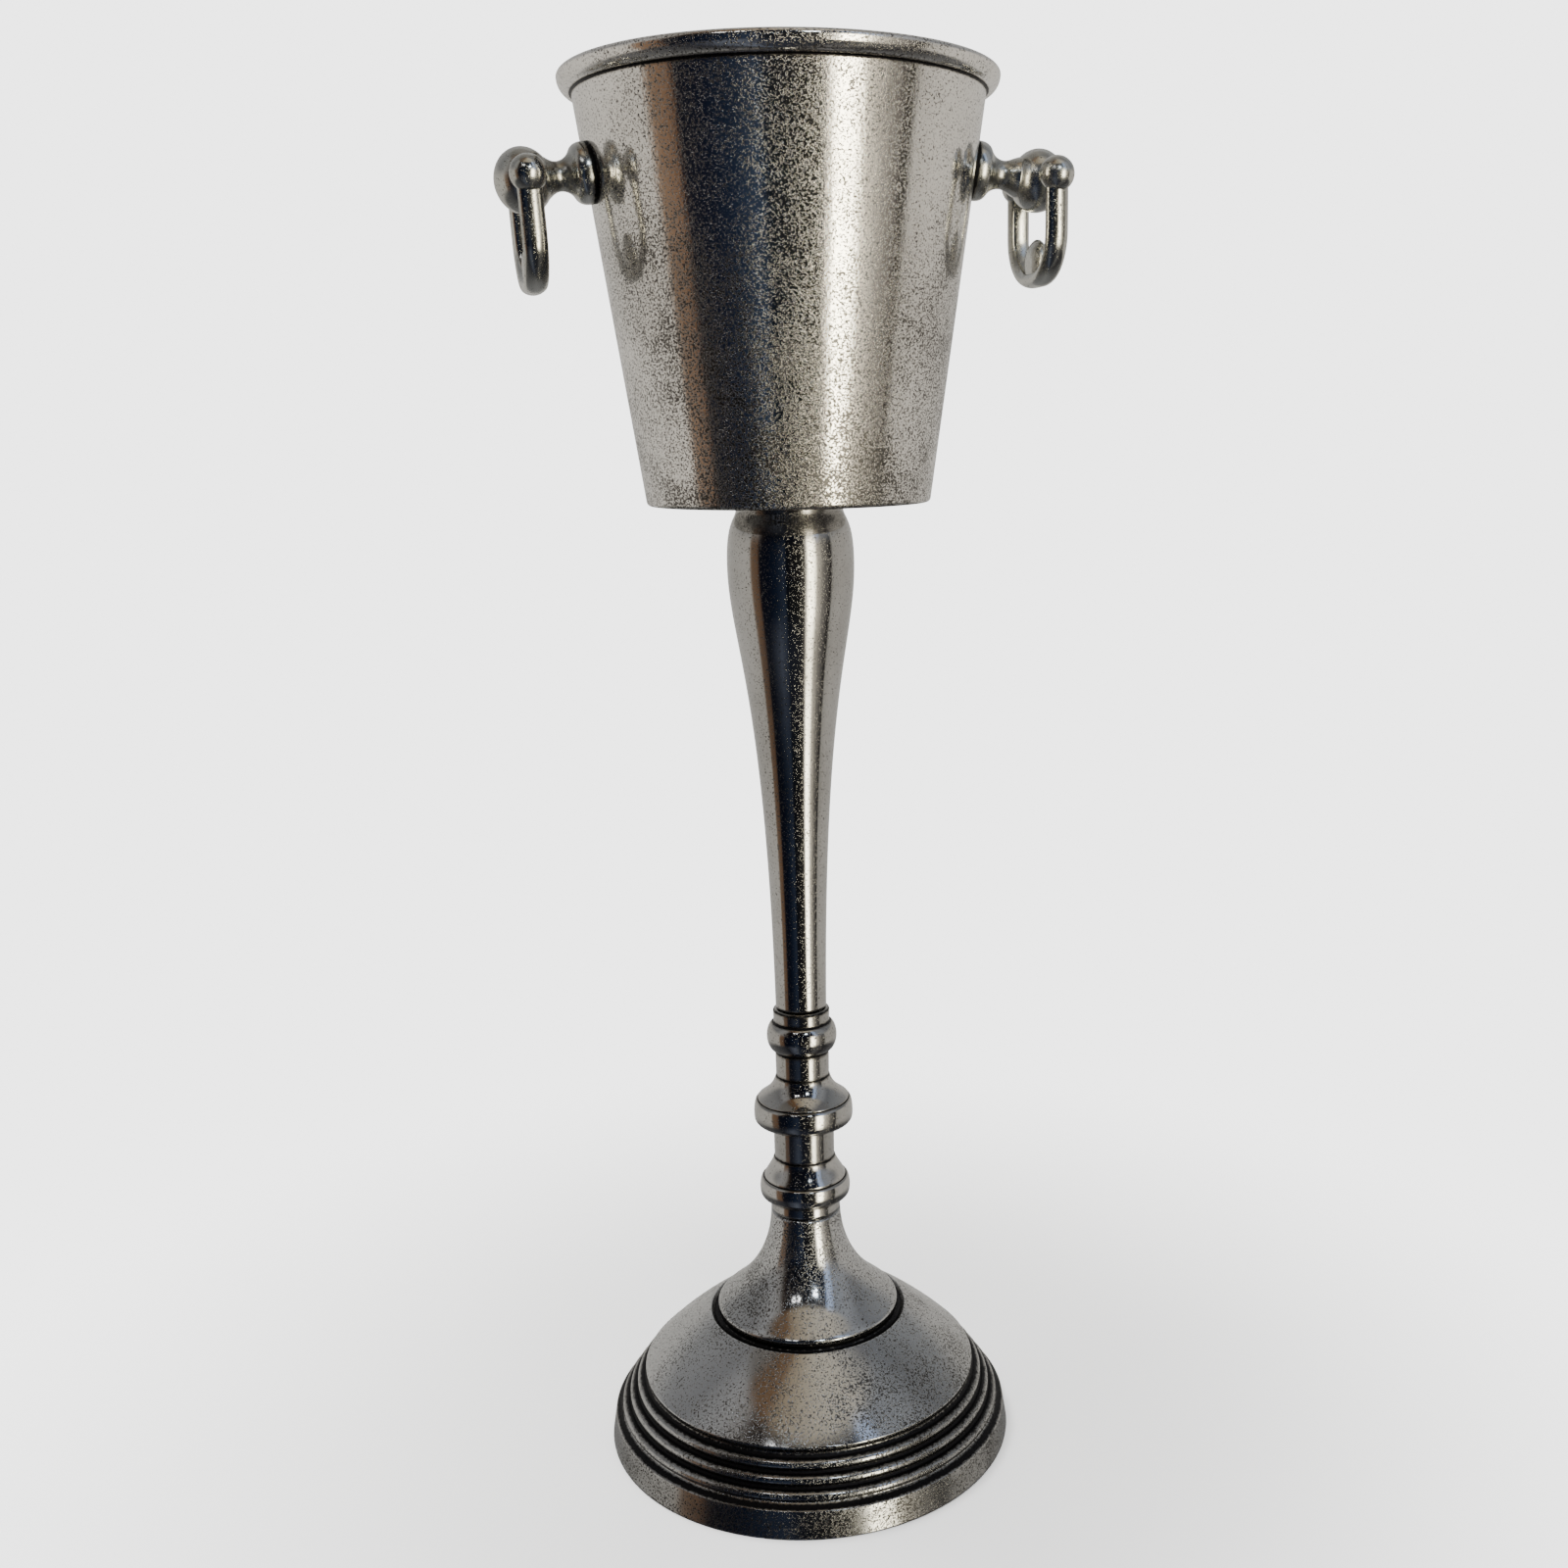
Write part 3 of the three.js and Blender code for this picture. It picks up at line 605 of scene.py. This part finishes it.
def bar_mesh(name):
    section = bar_section()
    count = len(section)
    verts, faces = [], []
    for y, z, inward_y, inward_z in bar_path():
        for inward, across in section:
            verts.append((across * MM, (y + inward * inward_y) * MM, (z + inward * inward_z) * MM))
    rows = len(verts) // count
    for row in range(rows - 1):
        for k in range(count):
            m = (k + 1) % count
            faces.append((row * count + k, row * count + m, (row + 1) * count + m, (row + 1) * count + k))
    faces.append(tuple(range(count)))
    faces.append(tuple((rows - 1) * count + k for k in range(count)))
    return mesh_object(name, verts, faces, [0.0] * len(verts))


def ball_mesh(name, y):
    outline = [(0, -BALL_RADIUS)] + arc(0, 0, BALL_RADIUS, BALL_RADIUS, -84, 84, 26) + [(0, BALL_RADIUS)]
    # the ball's poles lie on the pin
    centre = Matrix.Translation((0, y * MM, 0))
    return place(turned(name, outline, 40), centre @ Matrix.Rotation(math.pi / 2, 4, "X"))


def bead_mesh(name):
    half = BEAD_THICKNESS / 2
    outline = [(0, -half), (BEAD_RADIUS * 0.35, -half * 0.97)]
    outline += bezier((BEAD_RADIUS * 0.5, -half * 0.92), (BEAD_RADIUS * 0.8, -half * 0.74),
                      (BEAD_RADIUS * 0.94, -half * 0.36), (BEAD_RADIUS, -0.5), 10)
    outline += [(radius, -z) for radius, z in reversed(outline)]
    centre = Matrix.Translation((0, 0, (BEAD_RADIUS - RING_DROP) * MM))
    return place(turned(name, outline, AROUND_SMALL), centre @ Matrix.Rotation(math.pi / 2, 4, "Y"))


def ring(label):
    name = f"ring_{label}"
    parts = [bar_mesh(name), ball_mesh(name, -LEG_SPREAD), ball_mesh(name, LEG_SPREAD), bead_mesh(name)]
    obj = join(name, parts)
    hang = Matrix.Rotation(-SIDES[label] * math.radians(HANG[label]), 4, "Y")
    place(obj, Matrix.Translation(pin_centre(label)) @ hang)
    return finish_piece(obj, f"handle_ring_{label}", f"{label}_ring", "handle")


def ring_pin(label):
    """The pin's ends are peened over to shallow domes in the balls."""
    end, dome_height = LEG_SPREAD + BALL_RADIUS - 0.3, 0.9
    dome = arc(0, end - dome_height, PIN_RADIUS, dome_height, 0, 90, 6)[:-1]
    outline = [(0, -end)] + [(r, -z) for r, z in reversed(dome)] + dome + [(0, end)]
    obj = turned(f"pin_{label}", outline, 32)
    place(obj, Matrix.Translation(pin_centre(label)) @ Matrix.Rotation(math.pi / 2, 4, "X"))
    return finish_piece(obj, f"handle_pin_{label}", f"{label}_ring", "steel")


# ---- fasteners ----
def washer_outline(inner, outer, low, thick, edge=0.3):
    high = low + thick
    return [(inner, low + edge), (inner + edge, low), (outer - edge, low), (outer, low + edge),
            (outer, high - edge), (outer - edge, high), (inner + edge, high), (inner, high - edge)]


def threaded(name, radius, low, high, pitch=1.0, around=40):
    """A closed rod with a real helical thread: each row of points is shifted along by the helix."""
    depth = pitch * 0.45
    end_cut = 0.35                # how far the ends are turned down
    rows_per_turn = 4
    rows = int((high - low) / pitch * rows_per_turn)
    verts = []
    for row in range(rows + 1):
        z = low + (high - low) * row / rows
        for k in range(around):
            phase = ((z / pitch) - k / around) % 1.0
            cut = depth * (1 - abs(2 * phase - 1))
            fade = max(0.0, min(1.0, (z - low) / pitch, (high - z) / pitch))
            r = radius - cut * fade - end_cut * (1 - fade)
            turn = 2 * math.pi * k / around
            verts.append((r * MM * math.cos(turn), r * MM * math.sin(turn), z * MM))
    faces = [(row * around + k, row * around + (k + 1) % around, (row + 1) * around + (k + 1) % around,
              (row + 1) * around + k) for row in range(rows) for k in range(around)]
    faces += [tuple(range(around)), tuple(rows * around + k for k in range(around))]
    return mesh_object(name, verts, faces, [0.0] * len(verts))


def hexagon_prism(name, flats, low, high, bore=None):
    """A hexagon with its corners turned down to a chamfer at both ends, with a bore if it has one."""
    around, sixth = 96, math.pi / 3
    apothem, chamfer = flats / 2, 0.9
    end_radius = apothem * 1.02
    turns = [2 * math.pi * k / around for k in range(around)]
    hexagon = [apothem / math.cos((turn + sixth / 2) % sixth - sixth / 2) for turn in turns]
    round_end = [min(radius, end_radius) for radius in hexagon]
    loops = [(low, round_end), (low + chamfer, hexagon), (high - chamfer, hexagon), (high, round_end)]
    if bore:
        loops += [(high, [bore] * around), (low, [bore] * around)]
    verts = [(radius * MM * math.cos(turn), radius * MM * math.sin(turn), z * MM)
             for z, radii in loops for turn, radius in zip(turns, radii)]
    faces = []
    for row in range(len(loops) if bore else len(loops) - 1):
        after = (row + 1) % len(loops)
        for k in range(around):
            m = (k + 1) % around
            faces.append((row * around + k, row * around + m, after * around + m, after * around + k))
    if not bore:
        faces += [tuple(range(around)), tuple((len(loops) - 1) * around + k for k in range(around))]
    return mesh_object(name, verts, faces, [0.0] * len(verts), smooth=False)


SCREW_RADIUS, SCREW_END = 3.0, 12.0
SCREW_HEAD_FLATS, SCREW_HEAD_HEIGHT = 10, 3.6
BOSS_SEAL_RADIUS, BOSS_SEAL_DEPTH = 8.0, 2.2
BOSS_WASHER_RADIUS, BOSS_WASHER_THICKNESS = 7.5, 1.2
FLOOR_SEAL_RADIUS, FLOOR_SEAL_DEPTH = 15, 2
FLOOR_WASHER_RADIUS, FLOOR_WASHER_THICKNESS = 14, 2
FOOT_WASHER_RADIUS, FOOT_WASHER_THICKNESS = 18, 3
NUT_FLATS, NUT_HEIGHT = 17, 8
CAP_RADIUS = 7.6
ROD_RADIUS, ROD_PITCH = 5.0, 1.5


def boss_fasteners(label):
    seal_inner = -BUCKET_WALL - BOSS_SEAL_DEPTH
    washer_inner = seal_inner - GAP - BOSS_WASHER_THICKNESS
    head_inner = washer_inner - GAP - SCREW_HEAD_HEIGHT
    axis, hole = boss_axis(label), SCREW_RADIUS + GAP
    seal = washer_outline(hole, BOSS_SEAL_RADIUS, seal_inner, BOSS_SEAL_DEPTH - 0.35, 0.5)
    seal = place(turned(f"boss_seal_{label}", seal, 40), axis)
    finish_piece(seal, f"boss_seal_{label}", "stand", "rubber")
    washer = washer_outline(hole, BOSS_WASHER_RADIUS, washer_inner, BOSS_WASHER_THICKNESS)
    washer = place(turned(f"boss_washer_{label}", washer, 40), axis)
    finish_piece(washer, f"boss_washer_{label}", "stand", "steel")
    name = f"boss_screw_{label}"
    parts = [hexagon_prism(name, SCREW_HEAD_FLATS, head_inner, washer_inner - GAP),
             threaded(name, SCREW_RADIUS, washer_inner - GAP - 0.01, SCREW_END)]
    screw = place(join(name, parts), axis)
    finish_piece(screw, f"boss_screw_{label}", "stand", "steel")


def clamp_stack():
    seal_z, washer_z = (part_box(node)[0][2] / MM for node in ("bucket_seal", "bucket_washer"))
    nut_z, nut_top = (corner[2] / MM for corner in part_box("cap_nut"))
    seal = washer_outline(BORE, FLOOR_SEAL_RADIUS, seal_z, FLOOR_SEAL_DEPTH, 0.5)
    finish_piece(turned("floor_seal", seal, AROUND_SMALL), "bucket_seal", "stand", "rubber")
    washer = washer_outline(BORE, FLOOR_WASHER_RADIUS, washer_z, FLOOR_WASHER_THICKNESS)
    finish_piece(turned("floor_washer", washer, AROUND_SMALL),
                 "bucket_washer", "stand", "steel")
    # the dome starts just below the hexagon's top, so that the two meet without a gap
    seam = nut_z + NUT_HEIGHT - 0.4
    dome = arc(0, nut_z + NUT_HEIGHT, CAP_RADIUS, NUT_HEIGHT, 0, 84, 14)
    shell = [(BORE + 0.2, seam), (CAP_RADIUS, seam)] + dome + [(0, nut_top)]
    name = "floor_cap_nut"
    cap = join(name, [hexagon_prism(name, NUT_FLATS, nut_z, nut_z + NUT_HEIGHT, bore=BORE),
                      turned(name, shell, AROUND_SMALL, closed=False)])
    finish_piece(cap, "cap_nut", "stand", "steel")
    washer_z, low_nut = (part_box(node)[0][2] / MM for node in ("base_washer", "base_nut"))
    rod_low, rod_top = (corner[2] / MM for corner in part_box("tie_rod"))
    washer = washer_outline(BORE, FOOT_WASHER_RADIUS, washer_z, FOOT_WASHER_THICKNESS)
    finish_piece(turned("foot_washer", washer, AROUND_SMALL),
                 "base_washer", "stand", "steel")
    finish_piece(hexagon_prism("foot_nut", NUT_FLATS, low_nut, low_nut + NUT_HEIGHT, bore=BORE),
                 "base_nut", "stand", "steel")
    finish_piece(threaded("clamp_rod", ROD_RADIUS, rod_low, rod_top, ROD_PITCH, 24),
                 "tie_rod", "stand", "steel")


# ---- studio ----
CAMERA_AZIMUTH = 13.4             # degrees from the front, with the left handle nearer
CAMERA_DISTANCE = 0.9299          # from the stand's axis
CAMERA_HEIGHT = 0.5910
CAMERA_PITCH = 12.086
CAMERA_YAW = 2.313                # past the stand's axis, to the right
CAMERA_ROLL = 0.860
FOCAL_RATIO = 1731.4 / 1600       # focal length over the width of the frame
SHIFT = 80.5 / 1600               # the stand stands left of the lens's middle
SENSOR = 36.0


def camera():
    data = bpy.data.cameras.new("camera")
    data.sensor_width = SENSOR
    data.lens = SENSOR * FOCAL_RATIO
    data.shift_x = -SHIFT
    data.clip_start = 0.05
    obj = bpy.data.objects.new("camera", data)
    azimuth = math.radians(CAMERA_AZIMUTH)
    obj.location = (-CAMERA_DISTANCE * math.sin(azimuth), -CAMERA_DISTANCE * math.cos(azimuth),
                    CAMERA_HEIGHT)
    turn = Matrix.Rotation(-azimuth - math.radians(CAMERA_YAW), 4, "Z")
    tilt = Matrix.Rotation(math.radians(90 - CAMERA_PITCH), 4, "X")
    roll = Matrix.Rotation(-math.radians(CAMERA_ROLL), 4, "Z")
    obj.rotation_mode = "QUATERNION"
    obj.rotation_quaternion = (turn @ tilt @ roll).to_quaternion()
    bpy.context.scene.collection.objects.link(obj)
    bpy.context.scene.camera = obj


FLOOR_RADIUS = 0.62               # metres
FLOOR_CLEAR = 0.16                # metres: where the floor starts to fade out


def floor():
    """A pale round floor that fades into the backdrop."""
    around, rings = 96, 12
    turns = [2 * math.pi * k / around for k in range(around)]
    verts = [(0, 0, 0)]
    for ring_number in range(1, rings + 1):
        radius = FLOOR_RADIUS * ring_number / rings
        verts += [(radius * math.cos(turn), radius * math.sin(turn), 0) for turn in turns]
    faces = [(0, 1 + k, 1 + (k + 1) % around) for k in range(around)]
    faces += [(1 + row * around + k, 1 + (row + 1) * around + k, 1 + (row + 1) * around + (k + 1) % around,
               1 + row * around + (k + 1) % around) for row in range(rings - 1) for k in range(around)]
    obj = mesh_object("floor", verts, faces)
    n = Nodes("floor")
    n.shader.inputs["Base Color"].default_value = (0.90, 0.90, 0.895, 1)
    n.shader.inputs["Roughness"].default_value = 0.8
    n.shader.inputs["Specular IOR Level"].default_value = 0.2
    away = n.new("ShaderNodeVectorMath", operation="LENGTH")
    n.link(n.place, away.inputs[0])
    shown = n.ramp(away.outputs["Value"], FLOOR_CLEAR, FLOOR_RADIUS * 0.98, 1.0, 0.0)
    n.link(shown, n.shader.inputs["Alpha"])
    obj.data.materials.append(n.material)
    obj.visible_glossy = False


# The room by direction, as (degrees to the right of the side that the camera is on, colour). At the
# stand's height: pale walls behind and beside it, and a dark room in front with a wooden edge on its
# left and a window on its right. Higher up the walls are duller and the window is bluish. The ceiling
# is tan in front and grey behind. Low down it is dark, least so behind. The blends are the heights of
# the direction, -1 to 1, between which each gives way to the next one up.
ROOM = (
    (-180, (0.66, 0.64, 0.60)), (-110, (0.80, 0.77, 0.71)), (-80, (0.80, 0.76, 0.69)),
    (-75, (0.30, 0.195, 0.125)), (-62, (0.22, 0.13, 0.08)), (-58, (0.012, 0.013, 0.020)),
    (-42, (0.007, 0.010, 0.022)), (-28, (0.012, 0.020, 0.042)), (-13, (0.040, 0.054, 0.090)),
    (-7, (0.010, 0.012, 0.018)), (14, (0.030, 0.029, 0.027)), (24, (0.10, 0.095, 0.085)),
    (28, (1.8, 1.68, 1.42)), (33, (15.0, 13.9, 10.6)), (41, (12.0, 11.1, 8.5)), (48, (1.5, 1.36, 1.10)),
    (60, (0.42, 0.39, 0.34)), (70, (0.16, 0.148, 0.135)), (77, (0.02, 0.019, 0.018)),
    (82, (0.66, 0.63, 0.57)), (100, (0.80, 0.76, 0.69)), (180, (0.66, 0.64, 0.60)),
)
UPPER_ROOM = (
    (-180, (0.60, 0.59, 0.57)), (-125, (0.40, 0.40, 0.40)), (-100, (0.30, 0.30, 0.305)),
    (-80, (0.48, 0.475, 0.47)), (-64, (0.40, 0.38, 0.36)), (-54, (0.05, 0.035, 0.025)),
    (-46, (0.008, 0.009, 0.014)), (0, (0.008, 0.010, 0.018)), (38, (0.014, 0.020, 0.040)),
    (44, (0.80, 1.0, 1.4)), (52, (0.70, 0.86, 1.2)), (57, (0.42, 0.45, 0.50)),
    (80, (0.46, 0.475, 0.50)), (100, (0.26, 0.27, 0.29)), (125, (0.36, 0.37, 0.38)),
    (180, (0.60, 0.59, 0.57)),
)
LOWER_ROOM = (
    (-180, (0.30, 0.30, 0.30)), (-100, (0.14, 0.14, 0.14)), (-50, (0.030, 0.032, 0.042)),
    (-24, (0.16, 0.18, 0.23)), (-8, (0.030, 0.036, 0.055)), (30, (0.035, 0.036, 0.042)),
    (50, (0.18, 0.175, 0.17)), (80, (0.040, 0.038, 0.040)), (120, (0.14, 0.14, 0.14)),
    (180, (0.30, 0.30, 0.30)),
)
CEILING = (
    (-180, (0.40, 0.38, 0.35)), (-110, (0.28, 0.27, 0.25)), (-82, (0.22, 0.20, 0.18)),
    (-70, (0.20, 0.115, 0.06)), (-50, (0.26, 0.155, 0.085)), (-38, (0.48, 0.38, 0.26)),
    (-10, (0.66, 0.57, 0.43)), (20, (0.82, 0.74, 0.59)), (50, (0.86, 0.78, 0.63)),
    (76, (0.60, 0.57, 0.51)), (92, (0.24, 0.24, 0.25)), (110, (0.26, 0.26, 0.26)),
    (180, (0.40, 0.38, 0.35)),
)
LOWER_BLEND, UPPER_BLEND, CEILING_BLEND = (-0.52, -0.34), (0.10, 0.40), (0.80, 0.865)
BACKDROP = (3.6, 3.6, 3.6)        # what the camera sees behind the stand


def room():
    world = bpy.data.worlds.new("studio")
    bpy.context.scene.world = world
    world.use_nodes = True
    tree = world.node_tree
    tree.nodes.clear()

    def new(kind, **settings):
        node = tree.nodes.new(kind)
        for key, value in settings.items():
            setattr(node, key, value)
        return node

    def math_node(operation, a, b=None):
        node = new("ShaderNodeMath", operation=operation)
        for socket, value in zip(node.inputs, (a, b)):
            if isinstance(value, bpy.types.NodeSocket):
                tree.links.new(value, socket)
            elif value is not None:
                socket.default_value = value
        return node.outputs[0]

    direction = new("ShaderNodeTexCoord").outputs["Generated"]
    rotate = new("ShaderNodeVectorRotate", rotation_type="Z_AXIS")
    tree.links.new(direction, rotate.inputs["Vector"])
    rotate.inputs["Angle"].default_value = math.radians(CAMERA_AZIMUTH)
    axes = new("ShaderNodeSeparateXYZ")
    tree.links.new(rotate.outputs[0], axes.inputs[0])
    turn = math_node("ARCTAN2", axes.outputs["X"], math_node("MULTIPLY", axes.outputs["Y"], -1.0))
    bearing = math_node("ADD", math_node("DIVIDE", turn, 2 * math.pi), 0.5)

    def band(colours):
        ramp = new("ShaderNodeValToRGB")
        elements = ramp.color_ramp.elements
        elements[0].position, elements[0].color = 0.0, (*colours[0][1], 1)
        elements[1].position, elements[1].color = 1.0, (*colours[-1][1], 1)
        for angle, colour in colours[1:-1]:
            elements.new((angle + 180) / 360).color = (*colour, 1)
        tree.links.new(bearing, ramp.inputs["Fac"])
        return ramp.outputs["Color"]

    def above(low, high, under, over):
        """Blends from one colour to another between two heights of the direction."""
        rise = new("ShaderNodeMapRange", interpolation_type="SMOOTHSTEP")
        tree.links.new(axes.outputs["Z"], rise.inputs["Value"])
        rise.inputs["From Min"].default_value, rise.inputs["From Max"].default_value = low, high
        blend = new("ShaderNodeMix", data_type="RGBA")
        tree.links.new(rise.outputs["Result"], blend.inputs["Factor"])
        for colour, socket in ((under, blend.inputs["A"]), (over, blend.inputs["B"])):
            tree.links.new(colour, socket)
        return blend.outputs["Result"]

    low_walls = above(*LOWER_BLEND, band(LOWER_ROOM), band(ROOM))
    walls = above(*UPPER_BLEND, low_walls, band(UPPER_ROOM))
    ceiling = above(*CEILING_BLEND, walls, band(CEILING))
    lit, seen = new("ShaderNodeBackground"), new("ShaderNodeBackground")
    tree.links.new(ceiling, lit.inputs["Color"])
    seen.inputs["Color"].default_value = (*BACKDROP, 1)
    both, out = new("ShaderNodeMixShader"), new("ShaderNodeOutputWorld")
    tree.links.new(new("ShaderNodeLightPath").outputs["Is Camera Ray"], both.inputs["Fac"])
    tree.links.new(lit.outputs[0], both.inputs[1])
    tree.links.new(seen.outputs[0], both.inputs[2])
    tree.links.new(both.outputs[0], out.inputs["Surface"])


def softbox(name, location, target, size, power, colour=(1, 1, 1), mirrored=True):
    """A rectangular lamp; mirrored says if the metal shows it."""
    data = bpy.data.lights.new(name, "AREA")
    data.shape = "RECTANGLE"
    data.size, data.size_y = size
    data.energy = power
    data.color = colour
    obj = bpy.data.objects.new(name, data)
    obj.visible_glossy = mirrored
    obj.location = location
    obj.rotation_mode = "QUATERNION"
    obj.rotation_quaternion = (Vector(target) - Vector(location)).to_track_quat("-Z", "Y")
    bpy.context.scene.collection.objects.link(obj)


LAMP_DISTANCE = 1.6
LAMP_TARGET = (0, 0, 0.2)
# name, degrees to the right of the side that the camera is on, height, size, watts, colour
LAMPS = (
    ("lamp_left", -31, 1.9, 0.20, 0.8, (1, 1, 1)),
    ("lamp_middle", -20, 1.9, 0.20, 0.8, (1, 1, 1)),
    ("window", 17, 1.6, 0.26, 3.4, (0.80, 0.90, 1.0)),
)

base()
column()
baluster()
bucket()
for label in SIDES:
    boss(label)
    ring(label)
    ring_pin(label)
    boss_fasteners(label)
clamp_stack()
camera()
floor()
room()
softbox("overhead", (-0.3, 0.2, 2.2), LAMP_TARGET, (1.6, 1.6), 130, mirrored=False)
for name, bearing, height, size, power, colour in LAMPS:
    turn = math.radians(bearing - CAMERA_AZIMUTH)
    location = (LAMP_DISTANCE * math.sin(turn), -LAMP_DISTANCE * math.cos(turn), height)
    softbox(name, location, LAMP_TARGET, (size, size), power, colour)
